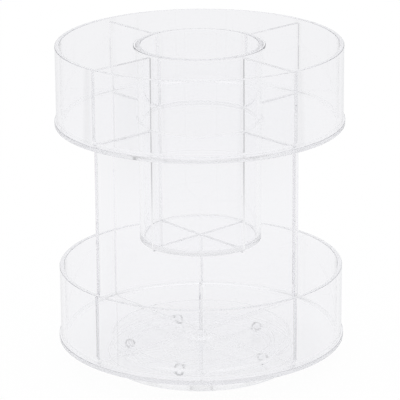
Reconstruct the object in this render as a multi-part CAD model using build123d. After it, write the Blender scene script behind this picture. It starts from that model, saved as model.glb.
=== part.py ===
from build123d import *
import os
from math import cos, radians, sin

# Rotating two-tier makeup organizer in clear acrylic, in millimetres.
# +Z is up, the origin is on the ground at the centre of the turning axis.
# The front, back, left and right compartments face -Y, +Y, -X and +X.

# Trays: round walls cemented on round floors
tray_radius = 125.0
wall_thickness = 4.0
floor_thickness = 4.0
floor_overhang = 1.5
lower_wall_height = 63.0
upper_wall_height = 66.3
tray_pitch = 196.5
edge_polish = 0.5
cement_film = 0.1
cove_radius = 3.0
same_place = 0.0001

# Upright panels and dividers
panel_thickness = 4.0
panel_end_gap = 2.5
panel_cup_gap = 1.8
corner_radius = 5.0
lap_clearance = 0.1
first_corner_angle = 45.0

# Lift-out brush cup
cup_radius = 55.4
cup_wall = 4.0
cup_bottom = 4.0
cup_depth = 175.7
cup_draft = 0.6
cup_rim_drop = 0.4
lip_overhang = 1.9
lip_thickness = 1.6
lip_divider_gap = 0.4
cup_edge_radius = 0.8
cup_hole_clearance = 1.0
cup_seat_gap = 0.3

# Turntable under the lower tray
foot_radius = 6.0
foot_stand = 1.0
foot_recess = 0.6
foot_inset = 18.6
foot_count = 5
foot_clearance = 0.1
foot_edge_radius = 0.4
base_radius = 84.6
base_plate = 4.4
base_rim_height = 2.6
base_rim_thickness = 2.2
base_edge_radius = 0.7
hub_ring_radius = 34.5
hub_ring_thickness = 2.5
hub_ring_height = 7.5
rim_gap = 1.6
rotor_plate = 3.0
rotor_height = 9.2
rotor_wall = 2.4
rotor_edge_radius = 2.0

# Ball bearing between the base and the rotor
ball_radius = 4.75
ball_count = 5
ball_inset = 15.8
ball_phase = -104.0
race_gap = 0.15
race_depth = 0.5
race_groove_radius = 5.2
cage_width = 13.0
cage_thickness = 2.0
pocket_clearance = 0.25

# Centre pivot
pin_radius = 4.0
pin_running_clearance = 0.08
pin_press_clearance = 0.02
rotor_boss_radius = 9.0
rotor_boss_height = 4.0
base_boss_radius = 12.0
base_boss_gap = 0.8
washer_radius = 7.5
washer_thickness = 0.8
washer_gap = 0.3
recess_clearance = 1.0
screw_radius = 1.5
screw_clearance = 0.1
screw_length = 9.0
screw_head_radius = 3.0
screw_head_height = 1.4

# Levels above the ground
base_low = foot_stand
base_top = base_low + base_plate
ball_level = base_top - race_depth + race_gap + ball_radius
rotor_low = ball_level + ball_radius + race_gap - race_depth
rotor_high = rotor_low + rotor_height
lower_floor_low = rotor_high + cement_film
lower_floor_high = lower_floor_low + floor_thickness
upper_floor_low = lower_floor_low + tray_pitch
upper_floor_high = upper_floor_low + floor_thickness
rim_level = upper_floor_high + upper_wall_height
cup_high = rim_level - cup_rim_drop
cup_low = cup_high - cup_depth
lip_low = cup_high - lip_thickness
divider_high = lip_low - lip_divider_gap
notch_level = cup_low - cup_seat_gap

# Radii that more than one piece shares
wall_inner_radius = tray_radius - wall_thickness
floor_radius = tray_radius + floor_overhang
lip_radius = cup_radius + lip_overhang
cup_hole_radius = cup_radius + cup_hole_clearance
panel_inner_radius = cup_radius + panel_cup_gap
panel_outer_radius = wall_inner_radius - panel_end_gap
foot_circle_radius = base_radius - foot_inset
rotor_radius = base_radius - base_rim_thickness - rim_gap
ball_circle_radius = rotor_radius - ball_inset

STANDING = (Align.CENTER, Align.CENTER, Align.MIN)
CORNERS = ["back_right", "back_left", "front_left", "front_right"]


def rod(radius, low, high):
    """A plain cylinder about the Z axis between two levels."""
    return Pos(0, 0, low) * Cylinder(radius, high - low, align=STANDING)


def ring(inner, outer, low, high):
    """A plain ring about the Z axis between two levels."""
    return rod(outer, low, high) - rod(inner, low, high)


def turned(points):
    """A solid turned about the Z axis from (radius, level) points."""
    outline = Polyline(*[(radius, 0, level) for radius, level in points], close=True)
    return revolve(make_face(outline), Axis.Z)


def circles_at(solid, level, radius):
    """The circular edges of a turned solid at one level and radius."""
    found = solid.edges().filter_by(GeomType.CIRCLE)
    return found.filter_by(
        lambda edge: abs(edge.center(CenterOf.MASS).Z - level) < same_place and abs(edge.radius - radius) < same_place
    )


def upright(points):
    """A flat outline in the XZ plane from (distance, level) points."""
    return make_face(Polyline(*[(distance, 0, level) for distance, level in points], close=True))


def thickened(face):
    """An upright outline given the panel thickness about its middle plane."""
    return extrude(face, amount=panel_thickness / 2, dir=(0, 1, 0), both=True)


def around(count, radius, first_angle):
    """Evenly spaced places on a circle about the Z axis."""
    turns = [radians(first_angle + 360 / count * index) for index in range(count)]
    return [(radius * cos(turn), radius * sin(turn)) for turn in turns]


def tray_wall(floor_level, height):
    """A length of clear tube standing on its floor, with its rim edges polished round."""
    rim = floor_level + height
    tube = ring(wall_inner_radius, tray_radius, floor_level + cement_film, rim)
    rim_edges = circles_at(tube, rim, tray_radius) + circles_at(tube, rim, wall_inner_radius)
    return fillet(rim_edges, min(edge_polish, wall_thickness / 3))


def cement_cove(floor_level):
    """The hollow bead of cement in the corner between a wall and its floor, its hollow cut in two flats."""
    low = floor_level + cement_film
    outer = wall_inner_radius - cement_film
    depth = cove_radius * (1 - cos(radians(45)))
    return turned([
        (outer - cove_radius, low),
        (outer, low),
        (outer, low + cove_radius),
        (outer - depth, low + depth),
    ])


def polished_disc(disc, low, high, radius):
    """Both outer edges of a floor disc rounded by the polishing flame."""
    rims = circles_at(disc, low, radius) + circles_at(disc, high, radius)
    return fillet(rims, min(edge_polish, floor_thickness / 3))


def lower_floor():
    disc = rod(floor_radius, lower_floor_low, lower_floor_high)
    return polished_disc(disc, lower_floor_low, lower_floor_high, floor_radius)


def upper_floor():
    disc = ring(cup_hole_radius, floor_radius, upper_floor_low, upper_floor_high)
    return polished_disc(disc, upper_floor_low, upper_floor_high, floor_radius)


def cross_panel():
    """One upright panel across the lower tray, notched from the top for the brush cup."""
    low = lower_floor_high + cement_film
    high = upper_floor_low - cement_film
    face = upright([
        (-panel_outer_radius, low),
        (panel_outer_radius, low),
        (panel_outer_radius, high),
        (panel_inner_radius, high),
        (panel_inner_radius, notch_level),
        (-panel_inner_radius, notch_level),
        (-panel_inner_radius, high),
        (-panel_outer_radius, high),
    ])
    feet = face.vertices().group_by(Axis.Z)[0]
    return thickened(fillet(feet, corner_radius))


def lap_slot(low, high):
    """The space that one cross panel leaves for the other."""
    width = panel_thickness + 2 * lap_clearance
    return Pos(0, 0, low) * Box(width, 2 * panel_thickness, high - low, align=STANDING)


def cross_panels():
    """Two notched panels, slotted half way so that they lock across each other."""
    low = lower_floor_high + cement_film
    middle = (low + notch_level) / 2
    from_above = cross_panel() - lap_slot(middle, notch_level + panel_thickness)
    from_below = cross_panel() - lap_slot(low - panel_thickness, middle + lap_clearance)
    return {
        "cross_panel_slotted_above": Rot(0, 0, first_corner_angle) * from_above,
        "cross_panel_slotted_below": Rot(0, 0, first_corner_angle + 90) * from_below,
    }


def upper_divider():
    """One short divider of the upper tray, between the wall and the brush cup, on the +X side."""
    low = upper_floor_high + cement_film
    face = upright([
        (panel_inner_radius, low),
        (panel_outer_radius, low),
        (panel_outer_radius, divider_high),
        (panel_inner_radius, divider_high),
    ])
    foot = face.vertices().group_by(Axis.Z)[0].sort_by(Axis.X)[-1]
    return thickened(fillet([foot], corner_radius))


def brush_cup():
    """A moulded cup that drops through the upper tray and stands on the crossed panels."""
    foot_outer = cup_radius - cup_draft
    inner_floor = cup_low + cup_bottom
    cup = turned([
        (0, cup_low),
        (foot_outer, cup_low),
        (cup_radius, lip_low),
        (lip_radius, lip_low),
        (lip_radius, cup_high),
        (cup_radius - cup_wall, cup_high),
        (foot_outer - cup_wall, inner_floor),
        (0, inner_floor),
    ])
    foot_edges = circles_at(cup, cup_low, foot_outer) + circles_at(cup, inner_floor, foot_outer - cup_wall)
    cup = fillet(foot_edges, min(cup_edge_radius, cup_wall / 2, cup_bottom / 2))
    lip_edges = circles_at(cup, cup_high, lip_radius) + circles_at(cup, cup_high, cup_radius - cup_wall)
    return fillet(lip_edges, min(edge_polish, lip_thickness / 3))


def race_groove(bottom_level, upward):
    """The shallow ring cut that the balls run in; it opens upward or downward."""
    side = 1 if upward else -1
    centre = bottom_level + side * race_groove_radius
    return Pos(0, 0, centre) * Torus(ball_circle_radius, race_groove_radius)


def base_dish():
    """The standing half of the turntable: plate with the lower race, outer rim, hub ring and pivot boss."""
    boss_high = rotor_low - base_boss_gap
    recess_high = base_top + washer_gap
    rim_high = base_top + base_rim_height
    dish = rod(base_radius, base_low, base_top)
    dish += ring(base_radius - base_rim_thickness, base_radius, base_low, rim_high)
    dish += ring(hub_ring_radius - hub_ring_thickness, hub_ring_radius, base_low, base_top + hub_ring_height)
    dish += rod(base_boss_radius, base_low, boss_high)
    dish -= race_groove(ball_level - ball_radius - race_gap, True)
    dish -= rod(pin_radius + pin_running_clearance, base_low, boss_high)
    dish -= rod(washer_radius + recess_clearance, base_low, recess_high)
    for x, y in around(foot_count, foot_circle_radius, ball_phase):
        dish -= Pos(x, y, 0) * rod(foot_radius + foot_clearance, base_low, base_low + foot_recess)
    outer_edges = circles_at(dish, base_low, base_radius) + circles_at(dish, rim_high, base_radius)
    return fillet(outer_edges, min(base_edge_radius, base_rim_thickness / 3))


def rubber_foot():
    """One soft pad stuck in a shallow recess under the base, at the origin."""
    pad = rod(foot_radius, 0, foot_stand + foot_recess)
    return fillet(circles_at(pad, 0, foot_radius), foot_edge_radius)


def rotor_dish():
    """The turning half of the turntable: a plate with the upper race, whose wall is cemented under the lower tray."""
    boss_high = rotor_low + rotor_plate + rotor_boss_height
    dish = rod(rotor_radius, rotor_low, rotor_high) - rod(rotor_radius - rotor_wall, rotor_low + rotor_plate, rotor_high)
    dish = fillet(circles_at(dish, rotor_low, rotor_radius), min(rotor_edge_radius, 0.8 * rotor_plate))
    dish += rod(rotor_boss_radius, rotor_low, boss_high)
    dish -= race_groove(ball_level + ball_radius + race_gap, False)
    dish -= rod(pin_radius + pin_press_clearance, rotor_low, boss_high)
    return dish


def ball_cage():
    """The flat ring that keeps the balls evenly spaced, one round pocket for each."""
    low, high = ball_level - cage_thickness / 2, ball_level + cage_thickness / 2
    cage = ring(ball_circle_radius - cage_width / 2, ball_circle_radius + cage_width / 2, low, high)
    for x, y in around(ball_count, ball_circle_radius, ball_phase):
        cage -= Pos(x, y, 0) * rod(ball_radius + pocket_clearance, low, high)
    return cage


def pivot_parts():
    """The pin pressed into the rotor, and the washer and screw that hold it in the base."""
    pin_low = base_top
    pin_high = rotor_low + rotor_plate + rotor_boss_height
    pin = rod(pin_radius, pin_low, pin_high) - rod(screw_radius, pin_low, pin_low + screw_length)
    washer_low = pin_low - washer_thickness
    washer = ring(screw_radius + screw_clearance, washer_radius, washer_low, pin_low)
    thread = rod(screw_radius, washer_low, pin_low + screw_length - washer_thickness)
    screw = thread + rod(screw_head_radius, washer_low - screw_head_height, washer_low)
    return {"pivot_pin": pin, "retaining_washer": washer, "retaining_screw": screw}


def all_parts():
    """Every separate piece of the organizer by its name, each in its place."""
    parts = {
        "lower_floor": lower_floor(),
        "lower_wall": tray_wall(lower_floor_high, lower_wall_height),
        "lower_cement_cove": cement_cove(lower_floor_high),
        "upper_floor": upper_floor(),
        "upper_wall": tray_wall(upper_floor_high, upper_wall_height),
        "upper_cement_cove": cement_cove(upper_floor_high),
        "brush_cup": brush_cup(),
        "rotor_dish": rotor_dish(),
        "base_dish": base_dish(),
        "ball_cage": ball_cage(),
    }
    parts.update(cross_panels())
    parts.update(pivot_parts())
    divider = upper_divider()
    for quarter, corner in enumerate(CORNERS):
        parts[f"upper_divider_{corner}"] = Rot(0, 0, first_corner_angle + 90 * quarter) * divider
    for number, (x, y) in enumerate(around(ball_count, ball_circle_radius, ball_phase), 1):
        parts[f"bearing_ball_{number}"] = Pos(x, y, ball_level) * Sphere(ball_radius)
    for number, (x, y) in enumerate(around(foot_count, foot_circle_radius, ball_phase), 1):
        parts[f"rubber_foot_{number}"] = Pos(x, y, 0) * rubber_foot()
    return parts


os.makedirs("parts", exist_ok=True)
for name, shape in all_parts().items():
    export_step(shape, f"parts/{name}.step")
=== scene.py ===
import bpy
import numpy as np
from mathutils import Matrix, Vector


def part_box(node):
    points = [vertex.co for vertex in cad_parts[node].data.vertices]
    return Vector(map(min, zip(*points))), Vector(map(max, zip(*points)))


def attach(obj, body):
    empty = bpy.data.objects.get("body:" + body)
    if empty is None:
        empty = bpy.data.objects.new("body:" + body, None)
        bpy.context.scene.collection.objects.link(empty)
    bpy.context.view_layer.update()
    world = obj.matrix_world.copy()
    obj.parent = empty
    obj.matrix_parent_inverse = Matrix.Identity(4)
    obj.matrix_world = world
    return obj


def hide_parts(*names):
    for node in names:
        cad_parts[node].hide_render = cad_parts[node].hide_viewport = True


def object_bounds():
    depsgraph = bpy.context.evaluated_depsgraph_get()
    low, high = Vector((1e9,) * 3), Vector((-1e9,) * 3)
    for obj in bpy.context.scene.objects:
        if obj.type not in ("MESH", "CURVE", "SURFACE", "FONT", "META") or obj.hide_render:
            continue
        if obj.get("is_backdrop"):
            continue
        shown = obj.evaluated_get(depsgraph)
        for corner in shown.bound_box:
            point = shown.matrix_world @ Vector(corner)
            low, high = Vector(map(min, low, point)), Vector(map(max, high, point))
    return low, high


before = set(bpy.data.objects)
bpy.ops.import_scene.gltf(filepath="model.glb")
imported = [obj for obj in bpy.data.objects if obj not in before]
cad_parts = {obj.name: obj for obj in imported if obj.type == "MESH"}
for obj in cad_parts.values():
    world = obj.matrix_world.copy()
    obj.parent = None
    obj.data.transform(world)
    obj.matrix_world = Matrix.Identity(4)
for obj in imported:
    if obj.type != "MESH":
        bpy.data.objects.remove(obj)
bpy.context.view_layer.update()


# Base dish
# The standing half of the turntable, moulded in clear acrylic. A low rim runs round its edge, a
# shallow groove carries the balls, and a thin ring and a boss stand round the pivot.
MM = 0.001
SAME_PLACE, ARC_STEP = 1e-6, 15
BALL_CIRCLE, GROOVE, GROOVE_DEPTH = 65.0, 5.2, 0.5
UNDERSIDE, PLATE, RIM_TOP, RIM_WIDE = 1.0, 5.4, 8.0, 2.2
RING_INSIDE, RING_OUTSIDE, RING_TOP = 32.0, 34.5, 12.9
BORE, BOSS, BOSS_TOP = 4.08, 12.0, 13.4
RECESS, RECESS_TOP = 8.5, 5.7


def straight(start, end):
    """A straight stretch of an outline. Its normal points to the right of the way it runs."""
    start, end = np.array(start, float), np.array(end, float)
    along = (end - start) / np.linalg.norm(end - start)
    normal = np.array([along[1], -along[0]])
    return np.stack([start, end]), np.stack([normal, normal])


def bend(centre, radius, first, last, steps=0):
    """An arc of an outline about its centre, point = centre + radius (cos, sin) from the first angle to
    the last, in degrees. Its normal points outward where the angle grows and inward where it falls."""
    steps = steps or max(2, int(abs(last - first) / ARC_STEP))
    angle = np.radians(np.linspace(first, last, steps + 1))
    way = np.stack([np.cos(angle), np.sin(angle)], 1)
    return np.array(centre, float) + radius * way, way * np.sign(last - first)


def outline(*corners):
    """A closed outline run anticlockwise through corners (across, up) or (across, up, rounding).
    A rounded corner becomes an arc that meets both of its sides; a bend may stand among the corners."""
    ready = [isinstance(c[0], np.ndarray) for c in corners]
    enter = [c[0][0] if r else np.array(c[:2], float) for c, r in zip(corners, ready)]
    leave = [c[0][-1] if r else np.array(c[:2], float) for c, r in zip(corners, ready)]
    pieces = []
    for i, corner in enumerate(corners):
        if ready[i]:
            pieces.append(corner)
        elif len(corner) == 3:
            before, after = enter[i] - leave[i - 1], enter[(i + 1) % len(corners)] - leave[i]
            before, after = before / np.linalg.norm(before), after / np.linalg.norm(after)
            turn = np.arctan2(before[0] * after[1] - before[1] * after[0], before @ after)
            side = np.sign(turn) * np.array([-before[1], before[0]])
            back = corner[2] * np.tan(abs(turn) / 2)
            centre = enter[i] - before * back + side * corner[2]
            first = np.degrees(np.arctan2(-side[1], -side[0]))
            pieces.append(bend(centre, corner[2], first, first + np.degrees(turn)))
        else:
            pieces.append((enter[i][None], None))
    stretches = []
    for i, piece in enumerate(pieces):
        following = pieces[(i + 1) % len(pieces)]
        if piece[1] is not None:
            stretches.append(piece)
        if np.linalg.norm(following[0][0] - piece[0][-1]) > SAME_PLACE:
            stretches.append(straight(piece[0][-1], following[0][0]))
    return stretches


def joined(stretches):
    """The points round an outline, and its normals at the start and at the end of the step after each point."""
    points = np.concatenate([p[:-1] for p, _ in stretches])
    leaving = np.concatenate([n[:-1] for _, n in stretches])
    arriving = np.concatenate([n[1:] for _, n in stretches])
    return points, leaving, arriving


def finished_mesh(name, points, faces, corner_normals, marked, body, material, stands_for):
    """Puts points in millimetres, faces and one normal for each face corner into a piece that rides on a
    body. The values in marked say how rough each face was left and how far painted shade greys it, from 0 for
    polished to 1 for sawn."""
    mesh = bpy.data.meshes.new(name)
    mesh.from_pydata((points * MM).tolist(), [], faces)
    mesh.polygons.foreach_set("use_smooth", np.ones(len(mesh.polygons), bool))
    mesh.normals_split_custom_set(corner_normals.tolist())
    mesh.attributes.new("edge", "FLOAT", "FACE").data.foreach_set("value", marked)
    mesh.materials.append(material)
    piece = bpy.data.objects.new(name, mesh)
    bpy.context.scene.collection.objects.link(piece)
    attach(piece, body)
    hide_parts(*stands_for)
    return piece


def turned(name, stretches, body, material, slot, *stands_for, at=(0, 0), turns=360, marks=()):
    """A surface of revolution about an upright axis: point = (radius cos a, radius sin a, level) with the
    radius and level of the outline and a all the way round. Its ends on the axis close in one point.
    Each of marks is a radius, a level, a reach and the value that the faces of a worked edge get there, which
    sets their haze and their painted shade."""
    profile, leaving, arriving = joined(stretches)
    angle = np.linspace(0, 2 * np.pi, turns, endpoint=False)
    way = np.stack([np.cos(angle), np.sin(angle), np.zeros(turns)], 1)
    up = np.array([0, 0, 1])

    def spun(flat):
        return flat[:, None, :1] * way[None] + flat[:, None, 1:] * up

    kept = np.ones((len(profile), turns), bool)
    on_axis = profile[:, 0] < SAME_PLACE
    kept[on_axis, 1:] = False
    index = np.cumsum(kept).reshape(kept.shape) - 1
    index[on_axis] = index[on_axis, :1]
    points = spun(profile)[kept] + np.array([*at, 0])
    ahead = np.roll(index, -1, axis=0)
    corners = np.stack([index, np.roll(index, -1, 1), np.roll(ahead, -1, 1), ahead], 2)
    leave, arrive = spun(leaving), spun(arriving)
    normals = np.stack([leave, np.roll(leave, -1, 1), np.roll(arrive, -1, 1), arrive], 2)
    starts, ends = on_axis, np.roll(on_axis, -1)
    middle = (profile + np.roll(profile, -1, axis=0)) / 2
    worked = np.zeros(len(profile))
    for radius, level, reach, value in marks:
        worked[np.abs(middle - (radius, level)).max(1) < reach] = value
    faces, face_normals, marked = [], [], []
    for rows, picked in (
        (~starts & ~ends, [0, 1, 2, 3]),
        (starts & ~ends, [0, 2, 3]),
        (~starts & ends, [0, 1, 2]),
    ):
        faces += corners[rows][:, :, picked].reshape(-1, len(picked)).tolist()
        face_normals.append(normals[rows][:, :, picked].reshape(-1, 3))
        marked += np.repeat(worked[rows], turns).tolist()
    normals = np.concatenate(face_normals)
    return finished_mesh(name, points, faces, normals, marked, body, material, stands_for)


def feed(tree, socket, value):
    """Links a node's input to another node's output, or sets it to a plain value."""
    if isinstance(value, bpy.types.NodeSocket):
        tree.links.new(value, socket)
    else:
        socket.default_value = value


def maths(tree, operation, *values):
    """A Math node over outputs and plain numbers."""
    node = tree.nodes.new("ShaderNodeMath")
    node.operation = operation
    for socket, value in zip(node.inputs, values):
        feed(tree, socket, value)
    return node.outputs[0]


def eased(tree, value, span, levels):
    """A Map Range node that eases from the first level to the second as the value crosses the span."""
    node = tree.nodes.new("ShaderNodeMapRange")
    node.interpolation_type = "SMOOTHSTEP"
    for name, given in zip(("Value", "From Min", "From Max", "To Min", "To Max"), (value, *span, *levels)):
        feed(tree, node.inputs[name], given)
    return node.outputs[0]


def noise(tree, place, size, detail):
    """A noise of one size and detail over a place."""
    node = tree.nodes.new("ShaderNodeTexNoise")
    for name, value in (("Vector", place), ("Scale", size), ("Detail", detail)):
        feed(tree, node.inputs[name], value)
    return node.outputs["Fac"]


def mixed(tree, way, share, first, second):
    """Two colours mixed in one way. A Mix node takes them in inputs 6 and 7 and gives the mix in output 2."""
    node = tree.nodes.new("ShaderNodeMix")
    node.data_type, node.blend_type = "RGBA", way
    for socket, value in ((node.inputs["Factor"], share), (node.inputs[6], first), (node.inputs[7], second)):
        feed(tree, socket, value)
    return node.outputs[2]


# The last of these is the grey of painted shade laid on marked sawn edges, which draws them as dark lines.
SMUDGE_PATCHES, SAW_FINER, SAWN_EDGE_SHADE = (0.48, 0.68), 6.0, (0.3, 0.3, 0.32, 1)


def finish_group():
    """A clear plastic's finish and painted edge shade as a node group. Its inputs say how far wiping has dulled
    the polish and how large the smudges are, how fine the ripples of the making are and how much longer along Z
    than across, how hazy a sawn edge is, and how far painted shade greys it, where the attribute edge marks."""
    group = bpy.data.node_groups.new("clear_finish_and_shade", "ShaderNodeTree")
    for name, value in (
        ("Smudge Size", 14.0), ("Polish", 0.0), ("Smudge", 0.005), ("Ripple Size", 120.0),
        ("Ripple Stretch", 1.0), ("Edge Haze", 0.1), ("Edge Grey", 0.01),
    ):
        socket = group.interface.new_socket(name=name, in_out="INPUT", socket_type="NodeSocketFloat")
        socket.default_value = value
    group.interface.new_socket(name="Tint", in_out="INPUT", socket_type="NodeSocketColor")
    for name, kind in (("Colour", "Color"), ("Roughness", "Float"), ("Height", "Float")):
        group.interface.new_socket(name=name, in_out="OUTPUT", socket_type="NodeSocket" + kind)
    given, out = group.nodes.new("NodeGroupInput").outputs, group.nodes.new("NodeGroupOutput").inputs
    place = group.nodes.new("ShaderNodeTexCoord").outputs["Object"]
    edge = group.nodes.new("ShaderNodeAttribute")
    edge.attribute_name = "edge"
    sawn = edge.outputs["Fac"]

    smudges = eased(group, noise(group, place, given["Smudge Size"], 4.0), SMUDGE_PATCHES, (0.0, 1.0))
    dulled = maths(group, "ADD", maths(group, "MULTIPLY", smudges, given["Smudge"]), given["Polish"])
    saw = noise(group, place, maths(group, "MULTIPLY", given["Ripple Size"], SAW_FINER), 2.0)
    haze = maths(group, "MULTIPLY", sawn, given["Edge Haze"])
    haze = maths(group, "MULTIPLY", haze, maths(group, "ADD", saw, 0.5))
    feed(group, out["Roughness"], maths(group, "ADD", dulled, haze))

    parts, squeezed = group.nodes.new("ShaderNodeSeparateXYZ"), group.nodes.new("ShaderNodeCombineXYZ")
    feed(group, parts.inputs[0], place)
    for axis in "XY":
        feed(group, squeezed.inputs[axis], parts.outputs[axis])
    feed(group, squeezed.inputs["Z"], maths(group, "DIVIDE", parts.outputs["Z"], given["Ripple Stretch"]))
    feed(group, out["Height"], noise(group, squeezed.outputs[0], given["Ripple Size"], 3.0))

    # Painted shade: the marked edges are mixed toward grey by this share, so they show as dark lines.
    edge_shade_share = maths(group, "MULTIPLY", sawn, given["Edge Grey"])
    feed(group, out["Colour"], mixed(group, "MIX", edge_shade_share, given["Tint"], SAWN_EDGE_SHADE))
    return group


clear_finish_and_shade = finish_group()


def clear_plastic(name, tint, ior, ripple_depth, painted_outline_shade=(0.75, 1.0, 1.0), loss=0.55, **settings):
    """A clear plastic of one tint whose polish, ripples, sawn edges and painted edge shade come from the finish
    group, with the ripples' depth in metres. Its painted outline shade says between which two slants, from 0
    for straight on to 1 for edge on, its colour is darkened to which share, painted shade that draws outlines.
    Its loss says how much light it takes up in a metre."""
    material = bpy.data.materials.new(name)
    material.use_nodes = True
    tree = material.node_tree
    shader, out = tree.nodes["Principled BSDF"], tree.nodes["Material Output"]
    shader.inputs["IOR"].default_value = ior
    shader.inputs["Transmission Weight"].default_value = 1.0
    finish, bump = tree.nodes.new("ShaderNodeGroup"), tree.nodes.new("ShaderNodeBump")
    finish.node_tree = clear_finish_and_shade
    finish.inputs["Tint"].default_value = (*tint, 1)
    for setting, value in settings.items():
        finish.inputs[setting.replace("_", " ").title()].default_value = value
    # Painted shade: the colour is multiplied down where the surface is seen edge on, which draws dark outlines.
    facing = tree.nodes.new("ShaderNodeLayerWeight").outputs["Facing"]
    shade = eased(tree, facing, painted_outline_shade[:2], (1.0, painted_outline_shade[2]))
    feed(tree, shader.inputs["Base Color"], mixed(tree, "MULTIPLY", 1.0, finish.outputs["Colour"], shade))
    feed(tree, shader.inputs["Roughness"], finish.outputs["Roughness"])
    bump.inputs["Distance"].default_value = ripple_depth
    feed(tree, bump.inputs["Height"], finish.outputs["Height"])
    feed(tree, shader.inputs["Normal"], bump.outputs["Normal"])
    depth = tree.nodes.new("ShaderNodeVolumeAbsorption")
    depth.inputs["Color"].default_value = (0, 0, 0.1, 1)
    depth.inputs["Density"].default_value = loss
    feed(tree, out.inputs["Volume"], depth.outputs[0])
    return material


ACRYLIC_IOR = 1.49
acrylic = clear_plastic("clear_moulded_acrylic", (1.0, 1.0, 1.0), ACRYLIC_IOR, 0.000004,
                        loss=0.0, ripple_size=40.0, polish=0.03)
base_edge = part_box("base_dish")[1].x / MM
half_angle = np.degrees(np.arcsin((GROOVE - GROOVE_DEPTH) / GROOVE))
turned(
    "clear_base_dish",
    outline(
        (RECESS, UNDERSIDE), (base_edge, UNDERSIDE, 0.7), (base_edge, RIM_TOP, 0.7),
        (base_edge - RIM_WIDE, RIM_TOP, 0.3), (base_edge - RIM_WIDE, PLATE, 0.6),
        bend((BALL_CIRCLE, PLATE - GROOVE_DEPTH + GROOVE), GROOVE, -half_angle, -180 + half_angle),
        (RING_OUTSIDE, PLATE, 0.5), (RING_OUTSIDE, RING_TOP, 0.4), (RING_INSIDE, RING_TOP, 0.4),
        (RING_INSIDE, PLATE, 0.5), (BOSS, PLATE, 0.5), (BOSS, BOSS_TOP, 0.4), (BORE, BOSS_TOP),
        (BORE, RECESS_TOP), (RECESS, RECESS_TOP),
    ),
    "base", acrylic, "clear_acrylic", "base_dish",
    marks=((RECESS, (UNDERSIDE + RECESS_TOP) / 2, 2.5, 1.0), (base_edge, (UNDERSIDE + RIM_TOP) / 2, 4.0, 0.1)),
)


# Standing pads
# Five round pads of clear soft rubber, stuck in shallow recesses under the base dish.
# They keep the turntable from sliding and lift it a millimetre off the table.
PAD, PAD_HIGH = 6.0, 0.97
soft_rubber = clear_plastic("clear_rubber", (0.985, 0.988, 1.0), 1.42, 0.00005, smudge_size=300.0)
for number in range(1, 6):
    low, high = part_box(f"rubber_foot_{number}")
    centre = (low + high) / 2 / MM
    turned(
        f"clear_pad_{number}",
        outline((0, 0), (PAD, 0, 0.4), (PAD, PAD_HIGH), (0, PAD_HIGH)),
        "base", soft_rubber, "clear_rubber", f"rubber_foot_{number}", at=(centre.x, centre.y), turns=64,
    )


# Bearing
# Five clear balls run between the grooves of the base and of the rotor. A flat moulded ring
# with a round pocket for each ball keeps them a fifth of a turn apart.
# Toward its outline each ball's colour darkens to a tenth: a painted shaded ring round a clear middle.
ball_plastic = clear_plastic("clear_ball", (0.985, 0.988, 0.995), 1.6, 0.000002, (0.1, 0.42, 0.1),
                             smudge_size=400.0, smudge=0.01)
nylon = clear_plastic("clear_nylon", (0.995, 0.996, 1.0), 1.34, 0.000002)
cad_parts["ball_cage"].data.materials.clear()
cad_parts["ball_cage"].data.materials.append(nylon)
for number in range(1, 6):
    low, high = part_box(f"bearing_ball_{number}")
    centre, size = (low + high) / 2 / MM, (high - low).z / 2 / MM
    turned(
        f"clear_ball_{number}",
        [bend((0, centre.z), size, -90, 90, 32), straight((0, centre.z + size), (0, centre.z - size))],
        "bearing", ball_plastic, "clear_ball", f"bearing_ball_{number}", at=(centre.x, centre.y), turns=64,
    )


# Rotor dish
# The turning half of the turntable, a clear plate with a groove under it for the balls. The
# wall round its edge is cemented under the lower tray, and a boss in the middle holds the pin.
ROTOR_PLATE, ROTOR_WALL, ROTOR_BORE, ROTOR_BOSS, ROTOR_BOSS_HIGH = 3, 2.4, 4.02, 9.0, 7
rotor_low, rotor_high = (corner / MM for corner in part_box("rotor_dish"))
rotor_edge, under, high = rotor_high.x, rotor_low.z, rotor_high.z
turned(
    "clear_rotor_dish",
    outline(
        (ROTOR_BORE, under),
        bend((BALL_CIRCLE, under + GROOVE_DEPTH - GROOVE), GROOVE, 180 - half_angle, half_angle),
        (rotor_edge, under, 2.0), (rotor_edge, high), (rotor_edge - ROTOR_WALL, high),
        (rotor_edge - ROTOR_WALL, under + ROTOR_PLATE, 0.8), (ROTOR_BOSS, under + ROTOR_PLATE, 0.5),
        (ROTOR_BOSS, under + ROTOR_BOSS_HIGH, 0.4), (ROTOR_BORE, under + ROTOR_BOSS_HIGH),
    ),
    "carousel", acrylic, "clear_acrylic", "rotor_dish",
)


# Pivot
# A nylon pin is pressed into the rotor's boss and turns in the base's. A washer and a screw
# in a recess under the base hold it there.
PIN, PIN_FOOT, PIN_TOP = 4.0, 5.4, under + 6.98
PILOT, PILOT_TOP = 1.52, 14.4
WASHER, WASHER_HOLE, WASHER_UNDER, WASHER_TOP = 7.5, 1.6, 4.6, 5.38
HEAD, HEAD_UNDER, HEAD_TOP, SHANK, SHANK_TOP = 3.0, 3.2, 4.58, 1.5, 13.6
for name, shape, node in (
    ("clear_pivot_pin",
     outline((PILOT, PIN_FOOT), (PIN, PIN_FOOT, 0.3), (PIN, PIN_TOP, 0.3), (0, PIN_TOP), (0, PILOT_TOP),
             (PILOT, PILOT_TOP)),
     "pivot_pin"),
    ("clear_washer",
     outline((WASHER_HOLE, WASHER_UNDER), (WASHER, WASHER_UNDER, 0.2), (WASHER, WASHER_TOP, 0.2),
             (WASHER_HOLE, WASHER_TOP)),
     "retaining_washer"),
    ("clear_screw",
     outline((0, HEAD_UNDER), (HEAD, HEAD_UNDER, 0.4), (HEAD, HEAD_TOP), (SHANK, HEAD_TOP),
             (SHANK, SHANK_TOP, 0.4), (0, SHANK_TOP)),
     "retaining_screw"),
):
    turned(name, shape, "carousel", nylon, "clear_nylon", node, turns=96)


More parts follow.
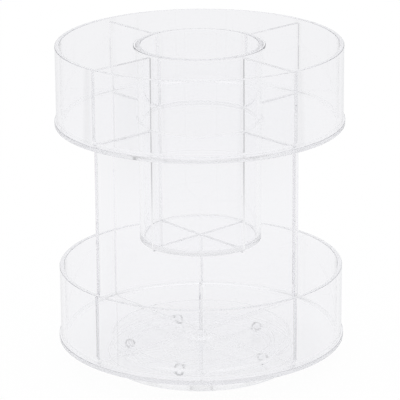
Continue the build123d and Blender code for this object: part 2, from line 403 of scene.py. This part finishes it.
# Lower floor
# A round disc of clear acrylic, a little wider than the wall that stands on it, with both
# edges polished round. The rotor dish is cemented to the middle of its underside.
FLOOR_EDGE = 0.5


def floor_levels(node):
    """The radius and the two levels of a floor disc, in millimetres."""
    low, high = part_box(node)
    return high.x / MM, low.z / MM, high.z / MM


CLEAR = (0.998, 0.998, 1.0)
# Its marked sawn edges are hazy, and greyed a little by painted shade.
sheet_acrylic = clear_plastic("clear_sheet_acrylic", CLEAR, ACRYLIC_IOR, 0.00001,
                              ripple_size=25.0, edge_haze=0.2, edge_grey=0.06)
radius, low, high = floor_levels("lower_floor")
turned(
    "clear_lower_floor",
    outline((0, low), (radius, low, FLOOR_EDGE), (radius, high, FLOOR_EDGE), (0, high)),
    "carousel", sheet_acrylic, "clear_acrylic", "lower_floor",
    marks=((radius, (low + high) / 2, 3.0, 0.4),),
)


# Lower wall
# A ring of clear tube with a polished rim, cemented on the floor. The cement leaves a small
# hollow bead in the corner inside.
TUBE, BEAD, BEAD_GAP = 4.0, 3.0, 0.1


def tray_wall(name, bead_name, node, bead_node):
    """A tube wall and its bead: two outlines turned about the axis, the bead's with a quarter circle
    taken out."""
    low, high = (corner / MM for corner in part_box(node))
    outer, inner = high.x, high.x - TUBE
    turned(
        name, outline((inner, low.z), (outer, low.z), (outer, high.z, 0.5), (inner, high.z, 0.5)),
        "carousel", tube_acrylic, "clear_acrylic", node,
    )
    side, foot = inner - BEAD_GAP, low.z
    hollow = bend((side - BEAD, foot + BEAD), BEAD, 0, -90)
    turned(
        bead_name, outline((side - BEAD, foot), (side, foot), hollow),
        "carousel", cement, "clear_cement", bead_node,
    )


# Seen edge on, the tube's colour darkens to six tenths: painted shade that draws the wall's outlines.
tube_acrylic = clear_plastic("clear_tube_acrylic", CLEAR, ACRYLIC_IOR, 0.00001, (0.75, 1.0, 0.6),
                             ripple_size=60.0, ripple_stretch=30.0)
cement = clear_plastic("clear_cement", CLEAR, 1.46, 0.0001, ripple_size=250.0, polish=0.02)
tray_wall("clear_lower_wall", "clear_lower_bead", "lower_wall", "lower_cement_cove")


# Crossed panels
# Two sheets of clear acrylic that slot half way into each other and stand across the lower
# tray. They carry the upper tray, and a wide notch in both makes room for the brush cup.
SHEET, SHEET_EDGE, SHEET_SAWN_AND_SHADED = 4.0, 0.25, 0.25
PANEL_END, CUP_SIDE, BEAD_CORNER, CUP_GAP, SLOT_GAP = 118.5, 57.2, 5, 0.3, 0.1


def sheet(name, stretches, turn, body, stands_for):
    """A flat sheet on edge: point = outline point less its normal times an inset, and out to both sides by
    half the thickness. The inset and the side follow a quarter circle at each edge. Then it is turned
    about the axis."""
    profile, leaving, arriving = joined(stretches)
    behind = np.roll(arriving, 1, axis=0)
    mitre = (behind + leaving) / (1 + (behind * leaving).sum(1, keepdims=True))
    quarter = np.radians(np.linspace(90, 0, 4))
    lean = np.concatenate([quarter, -quarter[::-1]])
    inset = SHEET_EDGE * (1 - np.cos(lean))
    side = np.sign(np.linspace(1, -1, len(lean))) * (SHEET / 2 - SHEET_EDGE) + SHEET_EDGE * np.sin(lean)
    turn = np.radians(turn)
    out, across = np.array([np.cos(turn), np.sin(turn), 0]), np.array([-np.sin(turn), np.cos(turn), 0])
    up = np.array([0, 0, 1])

    def stood(flat):
        return flat[..., :1] * out + flat[..., 1:] * up

    rows, count = len(profile), len(lean)
    points = stood(profile[:, None] - mitre[:, None] * inset[None, :, None]) + side[None, :, None] * across
    index = np.arange(rows * count).reshape(rows, count)
    ahead = np.roll(index, -1, axis=0)
    faces = np.stack([index[:, :-1], ahead[:, :-1], ahead[:, 1:], index[:, 1:]], 2).reshape(-1, 4).tolist()
    share, lean_across = np.cos(lean)[None, :, None], across * np.sin(lean)[None, :, None]
    start, end = (stood(normal)[:, None] * share + lean_across for normal in (leaving, arriving))
    normals = np.stack([start[:, :-1], end[:, :-1], end[:, 1:], start[:, 1:]], 2).reshape(-1, 3)
    marked = [SHEET_SAWN_AND_SHADED] * len(faces) + [0.0, 0.0]
    faces += [index[::-1, 0].tolist(), index[:, -1].tolist()]
    flat = np.concatenate([np.tile(across, (rows, 1)), np.tile(-across, (rows, 1))])
    normals = np.concatenate([normals, flat])
    return finished_mesh(name, points.reshape(-1, 3), faces, normals, marked, body, sheet_acrylic,
                         (stands_for,))


panel_low, panel_high = (corner.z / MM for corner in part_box("cross_panel_slotted_above"))
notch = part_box("brush_cup")[0].z / MM - CUP_GAP
middle, slot = (panel_low + notch) / 2, SHEET / 2 + SLOT_GAP
foot = ((-PANEL_END, panel_low, BEAD_CORNER), (PANEL_END, panel_low, BEAD_CORNER))
arms = (
    (PANEL_END, panel_high), (CUP_SIDE, panel_high), (CUP_SIDE, notch),
    (-CUP_SIDE, notch), (-CUP_SIDE, panel_high), (-PANEL_END, panel_high),
)
slot_above = ((slot, notch), (slot, middle), (-slot, middle), (-slot, notch))
slot_below = (
    (-slot, panel_low), (-slot, middle + SLOT_GAP), (slot, middle + SLOT_GAP), (slot, panel_low),
)
sheet("clear_panel_slotted_above", outline(*foot, *arms[:3], *slot_above, *arms[3:]),
      45, "carousel", "cross_panel_slotted_above")
sheet("clear_panel_slotted_below", outline(foot[0], *slot_below, foot[1], *arms),
      135, "carousel", "cross_panel_slotted_below")


# Upper floor
# A disc like the lower one, with a round hole for the brush cup. It is cemented on top of the
# crossed panels.
HOLE, HOLE_EDGE, HOLE_STRIP = 56.4, 0.2, 1.2
radius, low, high = floor_levels("upper_floor")
turned(
    "clear_upper_floor",
    outline(
        (HOLE, low, HOLE_EDGE), (radius, low, FLOOR_EDGE), (radius, high, FLOOR_EDGE), (HOLE, high, HOLE_EDGE),
        (HOLE, high - HOLE_STRIP),
    ),
    "carousel", sheet_acrylic, "clear_acrylic", "upper_floor",
    marks=((HOLE, high - HOLE_STRIP / 2, 0.8, 1.0), (radius, (low + high) / 2, 3.0, 0.3)),
)


# Upper wall
# A ring of the same tube as the lower wall. It is cemented on the upper floor and leaves the
# same bead inside.
tray_wall("clear_upper_wall", "clear_upper_bead", "upper_wall", "upper_cement_cove")


# Upper dividers
# Four short sheets between the wall and the brush cup part the upper tray in four. They stand
# over the crossed panels, and their lower outer corner is rounded past the bead.
for corner, turn in (("front_left", 225), ("front_right", 315), ("back_right", 45), ("back_left", 135)):
    low, high = (place.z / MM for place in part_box(f"upper_divider_{corner}"))
    sheet(
        f"clear_divider_{corner}",
        outline((CUP_SIDE, low), (PANEL_END, low, BEAD_CORNER), (PANEL_END, high), (CUP_SIDE, high)),
        turn, "carousel", f"upper_divider_{corner}",
    )


# Brush cup
# A tall clear acrylic cup, a little narrower at the foot, with a thin lip and a sawn disc
# cemented in as its bottom. It drops through the upper floor, stands on the crossed panels and
# lifts out.
CUP_FOOT, CUP_OVER_DISC, CUP_UNDER_LIP, LIP = 54.8, 54.814, 55.4, 57.3
DISC, LIP_HIGH, CUP_INSIDE_TOP, CUP_INSIDE_FOOT = 4, 1.6, 51.4, 50.8
# The cup's colour darkens a little where it is seen edge on, and its marked foot and lip are greyed: both
# painted shade.
cup_acrylic = clear_plastic("clear_cup_acrylic", (0.993, 0.993, 0.9955), ACRYLIC_IOR, 0.00001,
                            (0.7, 1.0, 0.92), ripple_size=40.0, ripple_stretch=8.0,
                            edge_haze=0.15, edge_grey=0.12)
low, high = (corner.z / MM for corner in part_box("brush_cup"))
turned(
    "clear_brush_cup",
    outline(
        (0, low), (CUP_FOOT, low, 0.8), (CUP_OVER_DISC, low + DISC), (CUP_UNDER_LIP, high - LIP_HIGH),
        (LIP, high - LIP_HIGH), (LIP, high, 0.5), (CUP_INSIDE_TOP, high, 0.5),
        (CUP_INSIDE_FOOT, low + DISC, 0.8), (0, low + DISC),
    ),
    "cup", cup_acrylic, "clear_acrylic", "brush_cup",
    marks=((CUP_FOOT, low + DISC / 2, 2.5, 0.7), (LIP, high - LIP_HIGH / 2, 1.2, 0.2)),
)


# Camera
# It stands in front and a little above, with the organizer turned three degrees from it, and
# leans a fraction of a degree.
TARGET, DISTANCE, LOOK_DOWN, TURNED, LEAN = 148.0, 2297.0, 17.99, 3.0, -0.389
PICTURE, FOCAL, SHIFT, SENSOR, FAR_END = 400, 2611.0, -0.4, 36.0, 20.0
down, turn, lean = np.radians([LOOK_DOWN, TURNED, LEAN])
ahead = Vector((-np.sin(turn) * np.cos(down), np.cos(turn) * np.cos(down), -np.sin(down)))
right = Vector((np.cos(turn), np.sin(turn), 0))
above = right.cross(ahead)
right_leant = right * np.cos(lean) + above * np.sin(lean)
above_leant = above * np.cos(lean) - right * np.sin(lean)
camera = bpy.data.objects.new("camera", bpy.data.cameras.new("camera"))
bpy.context.scene.collection.objects.link(camera)
bpy.context.scene.camera = camera
stand = (Vector((0, 0, TARGET)) - ahead * DISTANCE) * MM
facing = Matrix((right_leant, above_leant, -ahead)).transposed().to_4x4()
camera.matrix_world = Matrix.Translation(stand) @ facing
camera.data.sensor_width = SENSOR
camera.data.lens = FOCAL / PICTURE * SENSOR
camera.data.shift_x = SHIFT / PICTURE
camera.data.clip_end = FAR_END


# Floor
# A white table. The camera sees it a little lighter than the clear plastic does, and the
# organizer's shadow on it is faint. Light that was reflected on its way finds a dim strip on it
# at the left and the right, which draws the upright edges of the sheets.
FLOOR_HALF, WHITE, COOL_WHITE = 6, (1, 1, 1), (1, 1, 1.017)
FLOOR_NEAR, FLOOR_FAR, FLOOR_FADE = 0.93, 0.903, (0.35, 0.8)
STRIP_START, STRIP_FADE = (0.3, 0.8), (0.04, 0.09)
STRIP_LEVEL, STRIP_SLOPE, STRIP_MIDDLE = 0.5, 0.072, -0.02
CAMERA_GLOW, CAMERA_SHARE, PLASTIC_SHARE = 0.12, 0.97, 0.9


def away(tree, value, middle):
    """How far a value is from a middle, by two Math nodes."""
    return maths(tree, "ABSOLUTE", maths(tree, "SUBTRACT", value, middle))


def source(tree, kind, colour, strength):
    """A Background or an Emission node of one colour."""
    node = tree.nodes.new("ShaderNode" + kind)
    node.inputs["Color"].default_value = (*colour, 1)
    feed(tree, node.inputs["Strength"], strength)
    return node.outputs[0]


def over(tree, share, below, above):
    """A share of one shader laid over another."""
    node = tree.nodes.new("ShaderNodeMixShader")
    for socket, value in zip(node.inputs, (share, below, above)):
        feed(tree, socket, value)
    return node.outputs[0]


floor_mesh = bpy.data.meshes.new("floor")
floor_corners = [(-1, -1, 0), (1, -1, 0), (1, 1, 0), (-1, 1, 0)]
floor_mesh.from_pydata((np.array(floor_corners) * FLOOR_HALF).tolist(), [], [(0, 1, 2, 3)])
floor = bpy.data.objects.new("floor", floor_mesh)
bpy.context.scene.collection.objects.link(floor)
floor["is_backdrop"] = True
white_table = bpy.data.materials.new("white_table")
white_table.use_nodes = True
tree = white_table.node_tree
shader, path = tree.nodes["Principled BSDF"], tree.nodes.new("ShaderNodeLightPath").outputs
shader.inputs["Base Color"].default_value = (0.9, 0.9, 0.905, 1)
shader.inputs["Roughness"].default_value = 0.9
shader.inputs["Specular IOR Level"].default_value = 0.0
shader.inputs["Emission Color"].default_value = (*WHITE, 1)
feed(tree, shader.inputs["Emission Strength"], maths(tree, "MULTIPLY", path["Is Camera Ray"], CAMERA_GLOW))
spot, parts = tree.nodes.new("ShaderNodeTexCoord"), tree.nodes.new("ShaderNodeSeparateXYZ")
feed(tree, parts.inputs[0], spot.outputs["Object"])
across, along = parts.outputs["X"], parts.outputs["Y"]
at_side = eased(tree, away(tree, across, 0), STRIP_START, (0, 1))
slanted = maths(tree, "MULTIPLY_ADD", across, STRIP_SLOPE, along)
in_strip = eased(tree, away(tree, slanted, STRIP_MIDDLE), STRIP_FADE, (1, 0))
reflected = maths(tree, "MINIMUM", path["Glossy Depth"], 1)
dimming = maths(tree, "MULTIPLY", maths(tree, "MULTIPLY", at_side, in_strip), reflected)
level = maths(
    tree, "MULTIPLY", eased(tree, dimming, (0, 1), (1, STRIP_LEVEL)),
    eased(tree, away(tree, along, 0), FLOOR_FADE, (FLOOR_NEAR, FLOOR_FAR)),
)
by_plastic = maths(tree, "MAXIMUM", path["Is Transmission Ray"], path["Is Glossy Ray"])
look = over(tree, maths(tree, "MULTIPLY", by_plastic, PLASTIC_SHARE), shader.outputs[0],
            source(tree, "Emission", COOL_WHITE, level))
look = over(tree, maths(tree, "MULTIPLY", path["Is Camera Ray"], CAMERA_SHARE), look,
            source(tree, "Emission", WHITE, 1))
feed(tree, tree.nodes["Material Output"].inputs["Surface"], look)
floor_mesh.materials.append(white_table)


# Light
# A white studio with a soft light overhead, bright in front and behind. The room at the left and
# the right is dimmer, which draws the edges of the clear sheets.
BACKDROP, ROOM, ROOM_FADE = 0.93, 0.7, (0.5, 0.1)
OVERHEAD, OVERHEAD_FADE = 0.35, (0.75, 0.95)
world = bpy.data.worlds.new("studio")
bpy.context.scene.world = world
world.use_nodes = True
tree = world.node_tree
tree.nodes.clear()
output, path = tree.nodes.new("ShaderNodeOutputWorld"), tree.nodes.new("ShaderNodeLightPath").outputs
way, parts = tree.nodes.new("ShaderNodeTexCoord"), tree.nodes.new("ShaderNodeSeparateXYZ")
feed(tree, parts.inputs[0], way.outputs["Generated"])
level = maths(
    tree, "ADD", eased(tree, away(tree, parts.outputs["Y"], 0), ROOM_FADE, (BACKDROP, ROOM)),
    eased(tree, parts.outputs["Z"], OVERHEAD_FADE, (0, OVERHEAD)),
)
studio = over(tree, path["Is Diffuse Ray"], source(tree, "Background", COOL_WHITE, level),
              source(tree, "Background", WHITE, 1))
studio = over(tree, path["Is Camera Ray"], studio, source(tree, "Background", WHITE, 1))
feed(tree, output.inputs["Surface"], studio)
bpy.context.scene.view_settings.view_transform = "Standard"
BOUNCES = 512
bpy.context.scene.cycles.max_bounces = BOUNCES
bpy.context.scene.cycles.transmission_bounces = BOUNCES
bpy.context.scene.cycles.glossy_bounces = BOUNCES

low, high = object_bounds()
